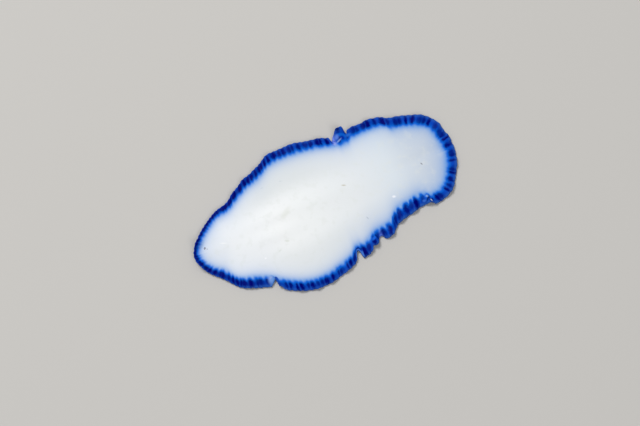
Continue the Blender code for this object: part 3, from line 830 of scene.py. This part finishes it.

# %% [markdown]
# ## The back
# The back is cream in the middle, cooler towards the tail, and greyer towards the flanks: at the front more
# on the right, at the rear more on the left. A colour ramp from head to tail gives the cream, and soft steps
# across and along the body lay the cooler tones over it. A noise would be simpler, but these tones follow the
# body. The small marks and painted highlights come last.

# %% Colours of the back
BODY_LENGTH = 46.0
CREAM_STOPS = (
    (0.05, paint(228, 233, 239)), (0.15, paint(240, 242, 243)), (0.32, paint(245, 246, 245)),
    (0.45, paint(240, 242, 241)), (0.62, paint(232, 235, 236)), (0.76, paint(222, 229, 234)),
    (0.85, paint(208, 216, 225)), (0.93, paint(200, 209, 221)),
)
FRONT_FLANK = paint(225, 228, 227)
REAR_FLANK = paint(186, 202, 225)
CLOUD = paint(226, 229, 224)
LEFT_Y = (2.0, -3.0)
FRONT_ACROSS, FRONT_REAR_X, FRONT_HEAD_X = (0.75, 0.45), (34.0, 20.0), (6.0, 16.0)
FRONT_STRENGTH, FRONT_LESS_ON_LEFT = 0.9, 0.3
REAR_ACROSS, REAR_X = (0.8, 0.2), (17.0, 38.0)
REAR_STRENGTH, REAR_MORE_ON_LEFT = 0.18, 0.5
CLOUD_NOISE, CLOUD_STRENGTH = (0.0, 0.22), 0.3


def set_stops(ramp, stops):
    """Stops of a colour ramp: position and colour of each."""
    while len(ramp.elements) < len(stops):
        ramp.elements.new(0)
    for element, (position, colour) in zip(ramp.elements, stops):
        element.position = position
        element.color = colour


def back_colour(bench, skin):
    cream = bench.add("ShaderNodeValToRGB", {}, {0: skin.x / BODY_LENGTH})
    set_stops(cream.socket.node.color_ramp, CREAM_STOPS)
    on_left = bench.step(skin.y, *LEFT_Y)
    front = bench.step(skin.across, *FRONT_ACROSS) * bench.step(skin.x, *FRONT_REAR_X)
    front = front * bench.step(skin.x, *FRONT_HEAD_X)
    rear = bench.step(skin.across, *REAR_ACROSS) * bench.step(skin.x, *REAR_X)
    rear = rear * (REAR_STRENGTH + on_left * REAR_MORE_ON_LEFT)
    back = bench.mix(front * (FRONT_STRENGTH - on_left * FRONT_LESS_ON_LEFT), cream, FRONT_FLANK)
    back = bench.mix(rear, back, REAR_FLANK)
    back = bench.mix(bench.step(skin.wobble, *CLOUD_NOISE) * CLOUD_STRENGTH, back, CLOUD)
    # The back's marks go on last, with the painted highlights among them.
    return with_marks(bench, skin, back, FLECKS_AND_HIGHLIGHTS)


print("stops from head to tail:", len(CREAM_STOPS))

# %% [markdown]
# ## The band
# Under the spots the band is deep blue near the margin and azure further in, and its rim is greyer where it
# is thin. The tender places are pale, and the tuck of the left side shows its lining as a light arch with a
# dark line on both sides, in layers by the inset; the inner dark line, at the tuck's mouth, is its edge with
# painted shade in it. Under the belly the band is paler than above.

# %% Colours of the band
AZURE_FRAY, AZURE_SHARE = 0.4, (0.4, 1.05)
RIM_DEPTH = (0.75, 0.1)
# Layers of the tuck: from inset, to inset, strength, paint. The last is the dark edge of the mouth, with
# painted shade.
TUCK_LINING_AND_SHADE = ((1.55, 1.3, 1.0, paint(6, 62, 174)), (1.3, 0.95, 0.8, paint(72, 122, 208)),
               (0.35, 0.1, 0.7, paint(44, 62, 120)))
TUCK_RIM = (0.95, 1.15)
BELLY_PALER = 0.35


def band_colour(bench, skin, dark, pale):
    share_in = (skin.depth + skin.streak * AZURE_FRAY) / skin.band_width
    azure = bench.mix(bench.step(share_in, *AZURE_SHARE), DEEP_BLUE, AZURE)
    azure = bench.mix(bench.step(skin.depth, *RIM_DEPTH) * skin.pale_rim, azure, RIM_BLUE)
    azure = bench.mix(skin.tender, azure, pale)
    band = bench.mix(dark, azure, NAVY)
    in_tuck = bench.step(skin.pale_rim, *TUCK_RIM)
    for inner, outer, strength, colour in TUCK_LINING_AND_SHADE:
        band = bench.mix(in_tuck * bench.step(skin.inset, inner, outer) * strength, band, colour)
    # Marks of the band, among them painted highlights, a painted shadow and painted light on shaded walls.
    band = with_marks(bench, skin, band, BAND_MARKS_AND_PAINTED_LIGHT)
    return bench.mix(skin.back * -BELLY_PALER + BELLY_PALER, band, PALE_BLUE)


print("layers in the lining of the tuck:", len(TUCK_LINING_AND_SHADE))

# %% [markdown]
# ## The skin's material
# Now the steps come together: the glow over the back, then the band over both. The real skin is wet, but in
# the photo's soft light it has hardly a highlight, so the shine is low, and the roughness a little uneven.

# %% The skin's material
PERIWINKLE_X = (18.0, 26.0)
HALO_PAST = (0.0, 0.5)
TENDER_LOSS = 0.7
SKIN_SHINE = 0.015
SKIN_ROUGHNESS, ROUGHNESS_UNEVEN = 0.42, 0.2


def skin_material():
    material = bpy.data.materials.new("worm_skin")
    material.use_nodes = True
    bench = Bench(material.node_tree)
    shader = material.node_tree.nodes["Principled BSDF"]
    skin = read_skin(bench)
    dark, spot = spots_in_band(bench, skin)
    past, blue, glow = edge_and_glow(bench, skin, spot)
    pale = bench.mix(bench.step(skin.x, *PERIWINKLE_X), PALE_BLUE, PERIWINKLE)
    halo = bench.mix(bench.step(past, *HALO_PAST), AZURE, GLOW)
    back = back_colour(bench, skin)
    back = bench.mix(glow * (1 - skin.tender * TENDER_LOSS), back, bench.mix(skin.tender, halo, pale))
    colour = bench.mix(blue, back, band_colour(bench, skin, dark, pale))
    bench.join(colour, shader.inputs["Base Color"])
    bench.join(SKIN_ROUGHNESS + skin.fine * ROUGHNESS_UNEVEN, shader.inputs["Roughness"])
    shader.inputs["Specular IOR Level"].default_value = SKIN_SHINE
    return material


worm_skin = skin_material()
print("skin material:", len(worm_skin.node_tree.nodes), "nodes")

# %% [markdown]
# ## From a node tree to a plain mesh
# A Geometry Nodes tree has named inputs and works as a modifier on an object. The modifier could stay, but a
# plain mesh is simpler to hand over. So Blender evaluates the object once, the result takes the place of the
# old mesh, and the modifier is removed.

# %% Helpers for Geometry Nodes
def new_tree(name, inputs):
    """The bench of a new tree, its node of inputs, and a wire from each named number."""
    tree = bpy.data.node_groups.new(name, "GeometryNodeTree")
    sockets = tree.interface
    sockets.new_socket("Geometry", in_out="INPUT", socket_type="NodeSocketGeometry")
    for label, value in inputs.items():
        kind = "NodeSocketInt" if isinstance(value, int) else "NodeSocketFloat"
        sockets.new_socket(label, in_out="INPUT", socket_type=kind).default_value = value
    sockets.new_socket("Geometry", in_out="OUTPUT", socket_type="NodeSocketGeometry")
    bench = Bench(tree)
    given = bench.add("NodeGroupInput")
    return bench, given, [given.output(label) for label in inputs]


def end_tree(bench, geometry, material):
    solid = bench.add("GeometryNodeRealizeInstances", {}, {"Geometry": geometry})
    painted = bench.add("GeometryNodeSetMaterial", {}, {"Geometry": solid, "Material": material})
    bench.add("NodeGroupOutput", {}, {0: painted})
    return bench.tree


def as_plain_mesh(thing, tree, **inputs):
    """Runs a node tree on an object, with other numbers than its own where they are given."""
    modifier = thing.modifiers.new(tree.name, "NODES")
    modifier.node_group = tree
    for label, value in inputs.items():
        modifier[tree.interface.items_tree[label].identifier] = value
    bpy.context.view_layer.update()
    evaluated = thing.evaluated_get(bpy.context.evaluated_depsgraph_get())
    mesh = bpy.data.meshes.new_from_object(evaluated)
    thing.modifiers.remove(modifier)
    thing.data = mesh
    return thing


def put_in_scene(name, mesh):
    thing = bpy.data.objects.new(name, mesh)
    bpy.context.scene.collection.objects.link(thing)
    return thing


# %% [markdown]
# ## Fine pleats
# Between the ruffles the margin is pleated like crepe, with one small pleat for each blue spot. Pleats
# repeat along a path, so Geometry Nodes make them: each point of the skin moves along its normal by a wave
# that fades with the distance from the margin, and nothing sinks below the floor.

# %% Pleat the margin
PLEATS = SPOTS
PLEAT_HEIGHT = 0.035
PLEAT_REACH, PLEAT_FULL = 1.5, 0.1
PLEAT_UNEVEN, UNEVEN_PER_MM = 6.0, 0.5


def pleat_tree(material):
    bench, given, (pleats, height, reach, seed) = new_tree("fine_pleats", {
        "Pleats": float(PLEATS), "Height": PLEAT_HEIGHT * MM, "Reach": PLEAT_REACH, "Seed": 4.0})
    turn = bench.add("GeometryNodeInputNamedAttribute", {"data_type": "FLOAT"}, {"Name": "turn"})
    inset = bench.add("GeometryNodeInputNamedAttribute", {"data_type": "FLOAT"}, {"Name": "inset"})
    position = bench.add("GeometryNodeInputPosition")
    place = bench.vector("SCALE", position)
    place.socket.node.inputs["Scale"].default_value = 1 / MM
    uneven = bench.add("ShaderNodeTexNoise", {"noise_dimensions": "4D"},
                       {"Vector": place, "W": seed, "Scale": UNEVEN_PER_MM, "Detail": 1.0})
    wave = bench.math("SINE", turn * pleats * 2 * math.pi + uneven * PLEAT_UNEVEN)
    share = bench.step(inset, reach, PLEAT_FULL)
    offset = bench.vector("SCALE", bench.add("GeometryNodeInputNormal"))
    bench.join(wave * share * height, offset.socket.node.inputs["Scale"])
    moved = bench.vector("ADD", position, offset)
    kept = bench.vector("MAXIMUM", moved, (-1, -1, 0))
    pleated = bench.add("GeometryNodeSetPosition", {}, {"Geometry": given, "Position": kept})
    return end_tree(bench, pleated, material)


skin = as_plain_mesh(put_in_scene("worm_skin", skin_mesh), pleat_tree(worm_skin))
print("pleated skin:", len(skin.data.polygons), "faces,", PLEATS, "pleats")

# %% [markdown]
# ## Eye specks
# Over the brain, a little over 2 mm behind the head tip, lie dozens of tiny pigment-cup eyes in two clusters,
# and a few more sit on the pseudotentacles. They are too many to place by hand, so they are scattered. The
# first step is where: small round patches that lie on the skin, found by a ray from above.

# %% Patches for the eyes
EyePatch = namedtuple("EyePatch", "x y radius")
BRAIN_EYES = (EyePatch(2.33, 2.11, 0.17), EyePatch(2.6, 1.8, 0.1))
TENTACLE_EYES_INSET, TENTACLE_EYES_RADIUS = 0.55, 0.22
PATCH_RINGS, PATCH_SPOKES = 3, 16
RAY_START = 10
skin_below = BVHTree.FromObject(skin, bpy.context.evaluated_depsgraph_get())


def on_skin(x, y):
    """The place on the animal's back at x and y, in millimetres."""
    start = Vector(((x - CENTRE[0]) * MM, (y - CENTRE[1]) * MM, RAY_START * MM))
    return skin_below.ray_cast(start, Vector((0, 0, -1)))[0]


def angles(count):
    return [2 * math.pi * k / count for k in range(count)]


def add_rings(bm, rings):
    """Faces from each ring of points to the next. A ring of one point over and over is a tip."""
    for one, other in zip(rings, rings[1:]):
        for k in range(len(one)):
            after = (k + 1) % len(one)
            bm.faces.new(list(dict.fromkeys([one[k], other[k], other[after], one[after]])))


def mesh_from(bm, name):
    mesh = bpy.data.meshes.new(name)
    bm.to_mesh(mesh)
    bm.free()
    return mesh


def patch_mesh(name, patches):
    """Small round patches that lie on the skin."""
    bm = bmesh.new()
    for patch in patches:
        rings = [[bm.verts.new(on_skin(patch.x, patch.y))] * PATCH_SPOKES]
        for k in range(1, PATCH_RINGS + 1):
            reach = patch.radius * k / PATCH_RINGS
            rings.append([
                bm.verts.new(on_skin(patch.x + reach * math.cos(angle), patch.y + reach * math.sin(angle)))
                for angle in angles(PATCH_SPOKES)])
        add_rings(bm, rings)
    return mesh_from(bm, name)


def tentacle_patches():
    """Two small patches on the folds of the head's rim, one each side."""
    patches = []
    for t in (TENTACLE_AT / RIGHT_LENGTH, 2 - TENTACLE_AT / LEFT_LENGTH):
        place = flesh(np.array([t]), np.array([TENTACLE_EYES_INSET]), np.array([1.0]))[0]
        patches.append(EyePatch(float(place[0]), float(place[1]), TENTACLE_EYES_RADIUS))
    return patches


print("patches:", len(BRAIN_EYES), "on the brain,", len(tentacle_patches()), "on the rim's folds")

# %% [markdown]
# ## Scattering the specks
# Geometry Nodes spread points on the patches with a least gap between them, as the real pigment cups lie,
# and put a dark bead on each. A bead is so small that two subdivisions are round enough.

# %% Scatter the eye specks
SPECK_RADIUS, SPECK_GAP = 0.034, 0.05
FAINT_RADIUS, FAINT_GAP = 0.02, 0.1
SPECK_SIZES = (0.6, 1.15)


def speck_tree(material):
    bench, given, (radius, gap, most, seed) = new_tree("eye_specks", {
        "Radius": SPECK_RADIUS * MM, "Gap": SPECK_GAP * MM, "Most per square metre": 4e8, "Seed": 7})
    points = bench.add("GeometryNodeDistributePointsOnFaces", {"distribute_method": "POISSON"},
                       {"Mesh": given, "Distance Min": gap, "Density Max": most, "Seed": seed})
    bead = bench.add("GeometryNodeMeshIcoSphere", {}, {"Radius": 1.0, "Subdivisions": 2})
    bead = bench.add("GeometryNodeSetShadeSmooth", {}, {"Geometry": bead})
    size = bench.add("FunctionNodeRandomValue", {"data_type": "FLOAT"},
                     {2: SPECK_SIZES[0], 3: SPECK_SIZES[1], "Seed": seed}, 1)
    beads = bench.add("GeometryNodeInstanceOnPoints", {}, {
        "Points": points, "Instance": bead, "Rotation": points.output("Rotation"), "Scale": size * radius})
    return end_tree(bench, beads, material)


def plain_material(name, colour, roughness):
    material = bpy.data.materials.new(name)
    material.use_nodes = True
    shader = material.node_tree.nodes["Principled BSDF"]
    shader.inputs["Base Color"].default_value = colour
    shader.inputs["Roughness"].default_value = roughness
    return material


eye_pigment = plain_material("eye_pigment_beads", paint(58, 34, 34), 0.35)
specks = speck_tree(eye_pigment)
brain_eyes = as_plain_mesh(put_in_scene("brain_eyes", patch_mesh("brain_eyes", BRAIN_EYES)), specks)
tentacle_eyes = as_plain_mesh(
    put_in_scene("tentacle_eyes", patch_mesh("tentacle_eyes", tentacle_patches())), specks,
    Gap=FAINT_GAP * MM, Radius=FAINT_RADIUS * MM)
print("faces of the eye specks:", len(brain_eyes.data.polygons), "and", len(tentacle_eyes.data.polygons))

# %% [markdown]
# ## The sucker
# In the middle of the belly the worm has one small sucker, a cup of muscle that stands in a round recess. A
# cup is a turned form, so its outline is drawn once and swept round, with a slight ripple at the soft rim.

# %% Turn the sucker
SUCKER_OUTLINE = (
    (0.0, 0.62), (0.5, 0.62), (0.68, 0.58), (0.77, 0.5), (0.82, 0.4), (0.88, 0.3), (0.96, 0.2), (1.04, 0.12),
    (1.09, 0.05), (1.07, 0.01), (1.0, 0.0), (0.93, 0.02), (0.86, 0.07), (0.76, 0.14), (0.62, 0.2),
    (0.45, 0.25), (0.25, 0.28), (0.0, 0.3),
)
SUCKER_SIDES = 96
SUCKER_RIPPLE = 0.012
SUCKER_RIPPLES = 14


def turned(name, outline, sides):
    """A closed form, swept from an outline that starts and ends on its axis."""
    bm = bmesh.new()
    rings = []
    for radius, height in outline:
        if radius == 0:
            rings.append([bm.verts.new((0, 0, height * MM))] * sides)
            continue
        around = []
        for angle in angles(sides):
            reach = radius * (1 + SUCKER_RIPPLE * radius * math.sin(SUCKER_RIPPLES * angle)) * MM
            around.append(bm.verts.new((reach * math.cos(angle), reach * math.sin(angle), height * MM)))
        rings.append(around)
    add_rings(bm, rings)
    bmesh.ops.translate(bm, verts=bm.verts, vec=[
        (SUCKER_AT[0] - CENTRE[0]) * MM, (SUCKER_AT[1] - CENTRE[1]) * MM, 0])
    bmesh.ops.recalc_face_normals(bm, faces=bm.faces)
    mesh = mesh_from(bm, name)
    mesh.shade_smooth()
    return mesh


sucker = put_in_scene("belly_sucker", turned("belly_sucker", SUCKER_OUTLINE, SUCKER_SIDES))
sucker.data.materials.append(plain_material("sucker_flesh", paint(226, 222, 212), 0.4))
print("sucker:", len(sucker.data.polygons), "faces")

# %% [markdown]
# ## The camera
# The photo was taken from nearly above, a little from the animal's left and front. The angles and the
# distance are set so that the worm's outline fits the photo's. Things are aimed by a turn round the worm and
# a height above the floor, which is simpler to think of than three coordinates.

# %% Camera
CAMERA_TURN = -26.0
CAMERA_HEIGHT = 78.0
CAMERA_DISTANCE = 0.2867
CAMERA_LENS = 100.0
SENSOR_WIDTH = 36.0
CLIP_START = 0.01
LOOK_AT = (np.array([21.52, -0.72, 0.5]) - CENTRE) * MM


def direction(turn, height):
    """The way from the worm to something at this turn and height, in degrees."""
    turn, height = math.radians(turn), math.radians(height)
    return Vector((math.sin(turn) * math.cos(height), -math.cos(turn) * math.cos(height), math.sin(height)))


def aim(thing, turn, height, distance):
    thing.location = Vector(LOOK_AT) + direction(turn, height) * distance
    thing.rotation_euler = direction(turn, height).to_track_quat("Z", "Y").to_euler()


camera = put_in_scene("camera", bpy.data.cameras.new("camera"))
camera.data.lens = CAMERA_LENS
camera.data.sensor_width = SENSOR_WIDTH
camera.data.clip_start = CLIP_START
aim(camera, CAMERA_TURN, CAMERA_HEIGHT, CAMERA_DISTANCE)
bpy.context.scene.camera = camera
print("camera at", [round(c, 3) for c in camera.location])

# %% [markdown]
# ## Lamps and sky
# The photo's light is soft daylight. A wide lamp high on the upper left of the picture leaves thin shadows
# on the far edges, a weaker one and an even sky fill them. One strong lamp would make the ruffles too hard.

# %% Lamps and sky
SKY_COLOUR = (0.95, 0.97, 1.0, 1)
SKY_STRENGTH = 0.42


def add_lamp(name, turn, height, distance, size, watts):
    lamp = bpy.data.lights.new(name, "AREA")
    lamp.shape = "DISK"
    lamp.size = size
    lamp.energy = watts
    thing = put_in_scene(name, lamp)
    aim(thing, turn, height, distance)
    return thing


key_lamp = add_lamp("key_lamp", turn=CAMERA_TURN + 225, height=62, distance=0.6, size=0.25, watts=2.3)
fill_lamp = add_lamp("fill_lamp", turn=CAMERA_TURN + 40, height=50, distance=0.7, size=0.4, watts=0.9)
world = bpy.data.worlds.new("studio")
bpy.context.scene.world = world
world.use_nodes = True
sky = world.node_tree.nodes["Background"]
sky.inputs["Color"].default_value = SKY_COLOUR
sky.inputs["Strength"].default_value = SKY_STRENGTH
bpy.context.scene.view_settings.view_transform = "Standard"
print("lamps, W:", round(key_lamp.data.energy, 1), "and", round(fill_lamp.data.energy, 1))

# %% [markdown]
# ## The floor
# The worm lies on a plain pale floor, a hundredth of a millimetre lower than the belly, so that the two faces
# never fight for the same pixels.

# %% Floor
FLOOR_HALF_SIDE = 0.5
FLOOR_DROP = 0.01


def make_floor():
    bm = bmesh.new()
    bmesh.ops.create_grid(bm, x_segments=1, y_segments=1, size=FLOOR_HALF_SIDE)
    for vert in bm.verts:
        vert.co.z = -FLOOR_DROP * MM
    mesh = mesh_from(bm, "floor")
    mesh.materials.append(plain_material("floor_paint", paint(200, 197, 192), 0.9))
    return put_in_scene("floor", mesh)


floor = make_floor()
print("floor, m:", [round(side, 2) for side in floor.dimensions[:2]])

# %% [markdown]
# ## Onto the frame
# The skin rides on the one body of this still model and stands for every node of flesh.

# %% Join the looks to the frame
FLESH = [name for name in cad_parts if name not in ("cerebral_eyes", "ventral_sucker")]
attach(skin, "root")
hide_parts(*FLESH)
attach(brain_eyes, "root")
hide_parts("cerebral_eyes")
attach(tentacle_eyes, "root")
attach(sucker, "root")
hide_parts("ventral_sucker")
